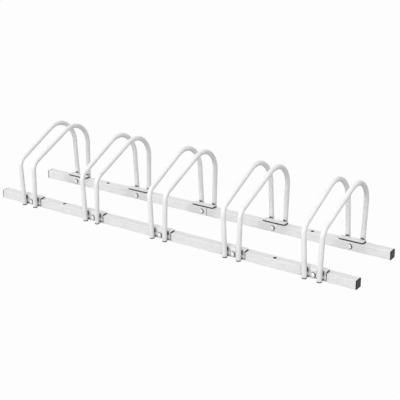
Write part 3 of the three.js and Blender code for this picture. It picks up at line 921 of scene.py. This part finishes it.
def makeNut():
    middle = (0, nutFace + bolt["nutHeight"] / 2, 0)
    sideways = (math.pi / 2, 0, 0)
    cornerRadius = bolt["nutWidth"] / math.sqrt(3)
    bpy.ops.mesh.primitive_cylinder_add(
        vertices=6, radius=cornerRadius, depth=bolt["nutHeight"],
        location=middle, rotation=sideways)
    piece = newPiece("nut")
    bpy.ops.object.mode_set(mode="OBJECT")
    bpy.ops.mesh.primitive_cylinder_add(
        vertices=bolt["nutChamferSides"], radius=cornerRadius * bolt["nutChamferShare"],
        depth=bolt["nutHeight"], location=middle, rotation=sideways)
    turned = newPiece("turned")
    pick(turned, "EDGE", lambda e: edgeAt(e, 1, e.verts[0].co.y))
    bpy.ops.mesh.bevel(offset=bolt["nutChamfer"], segments=1)
    bpy.ops.object.mode_set(mode="OBJECT")
    cutWith(piece, turned, "INTERSECT")
    bpy.ops.mesh.primitive_cylinder_add(
        vertices=bolt["sides"], radius=bolt["radius"] + bolt["threadClearance"],
        depth=2 * bolt["nutHeight"], location=middle, rotation=sideways)
    cutWith(piece, bpy.context.active_object)
    softenEdges(piece, bolt["nutRim"], bolt["nutRimAngle"])
    giveMaterials(piece, nutZinc)
    finishShape(piece)
    return piece


bracketShape = makeBracket()
weldShape = makeWelds()
boltShape = makeBolt()
washerShape = makeWasher()
nutShape = makeNut()
# the front heads seat on the bracket, the back ones on the inner face of the rail
seatY = {"front": -railFaceY - rack["bracketThickness"], "back": railY - rack["railSize"] / 2}
for i, x in enumerate(holderX):
    for place, towards in places.items():
        number = f"{i + 1}{place.title()}"
        turn = (0, 0, 0 if towards < 0 else math.pi)
        bracketPlace = (x, towards * railFaceY, 0)
        bracketNode = f"holder_{i + 1}_bracket_{place}"
        boltNode = f"holder_{i + 1}_bolt_{place}"
        placeCopy(bracketShape, f"bracket{number}", [bracketNode], bracketPlace, turn)
        placeCopy(weldShape, f"welds{number}", [bracketNode], bracketPlace, turn)
        boltPlace = (x, seatY[place], rack["boltHeight"])
        spin = (0, math.radians(bolt["nutTurn"] * i + bolt["nutTurnAcross"] * towards), 0)
        placeCopy(boltShape, f"bolt{number}", [boltNode], boltPlace)
        placeCopy(washerShape, f"washer{number}", [boltNode], boltPlace)
        placeCopy(nutShape, f"nut{number}", [boltNode], boltPlace, spin)
putAway(bracketShape, weldShape, boltShape, washerShape, nutShape)
print("brackets, welds and bolts placed")


studio = {
    "floorSize": 14,
    "floorDrop": 0.0003,  # keeps the floor off the undersides of the rails
    "floorColor": (0.46, 0.46, 0.46),
    "floorWhite": 0.97,  # share of plain white in what the camera and reflections see
    "brightSide": (-0.4, -0.3, 0.86),  # the way to the brightest part of the soft light
    "softest": 0.26,
    "brightest": 0.87,
    "keyFrom": (0.0, -0.9, 0.43),
    "keyDistance": 3,
    "keyPower": 1.26,
    "keySpread": math.radians(13),
}


def seenDirectly(nodes, links):
    # 1 for camera, glossy and transmission rays, 0 for the light that falls on the rack
    rays = addNode(nodes, "ShaderNodeLightPath")
    direct = rays.outputs["Is Camera Ray"]
    for name in ("Is Glossy Ray", "Is Transmission Ray"):
        either = addNode(nodes, "ShaderNodeMath", operation="MAXIMUM")
        links.new(direct, either.inputs[0])
        links.new(rays.outputs[name], either.inputs[1])
        direct = either.outputs["Value"]
    return direct


def makeFloor():
    bpy.ops.mesh.primitive_plane_add(
        size=studio["floorSize"], location=(0, 0, -studio["floorDrop"]))
    floor = bpy.context.active_object
    floor.name = "floor"
    material, nodes, links = newMaterial("floorPaper")
    output = addNode(nodes, "ShaderNodeOutputMaterial")
    shader = addNode(nodes, "ShaderNodeBsdfDiffuse")
    shader.inputs["Color"].default_value = (*studio["floorColor"], 1)
    glow = addNode(nodes, "ShaderNodeEmission")
    glow.inputs["Strength"].default_value = 1
    share = addNode(nodes, "ShaderNodeMath", operation="MULTIPLY")
    share.inputs[1].default_value = studio["floorWhite"]
    mix = addNode(nodes, "ShaderNodeMixShader")
    links.new(seenDirectly(nodes, links), share.inputs[0])
    links.new(share.outputs["Value"], mix.inputs["Fac"])
    links.new(shader.outputs["BSDF"], mix.inputs[1])
    links.new(glow.outputs["Emission"], mix.inputs[2])
    links.new(mix.outputs["Shader"], output.inputs["Surface"])
    floor.data.materials.append(material)


def makeWorld():
    world = bpy.data.worlds.new("studio")
    bpy.context.scene.world = world
    world.use_nodes = True
    nodes, links = world.node_tree.nodes, world.node_tree.links
    nodes.clear()
    output = addNode(nodes, "ShaderNodeOutputWorld")
    white = addNode(nodes, "ShaderNodeBackground")
    white.inputs["Color"].default_value = (1, 1, 1, 1)
    soft = addNode(nodes, "ShaderNodeBackground")
    soft.inputs["Color"].default_value = (1, 1, 1, 1)
    coords = addNode(nodes, "ShaderNodeTexCoord")
    towards = addNode(nodes, "ShaderNodeVectorMath", operation="DOT_PRODUCT")
    towards.inputs[1].default_value = Vector(studio["brightSide"]).normalized()
    strength = addNode(nodes, "ShaderNodeMapRange")
    strength.inputs["From Min"].default_value = -1
    strength.inputs["To Min"].default_value = studio["softest"]
    strength.inputs["To Max"].default_value = studio["brightest"]
    mix = addNode(nodes, "ShaderNodeMixShader")
    links.new(coords.outputs["Generated"], towards.inputs[0])
    links.new(towards.outputs["Value"], strength.inputs["Value"])
    links.new(strength.outputs["Result"], soft.inputs["Strength"])
    links.new(seenDirectly(nodes, links), mix.inputs["Fac"])
    links.new(soft.outputs["Background"], mix.inputs[1])
    links.new(white.outputs["Background"], mix.inputs[2])
    links.new(mix.outputs["Shader"], output.inputs["Surface"])


def makeKeyLight():
    bpy.ops.object.light_add(type="SUN", location=Vector(studio["keyFrom"]) * studio["keyDistance"])
    lamp = bpy.context.active_object
    lamp.name = "keyLight"
    lamp.data.energy = studio["keyPower"]
    lamp.data.angle = studio["keySpread"]
    lamp.rotation_euler = Vector(studio["keyFrom"]).to_track_quat("Z", "Y").to_euler()


makeFloor()
makeWorld()
makeKeyLight()
bpy.context.scene.view_settings.view_transform = "Standard"
print("floor and light set")
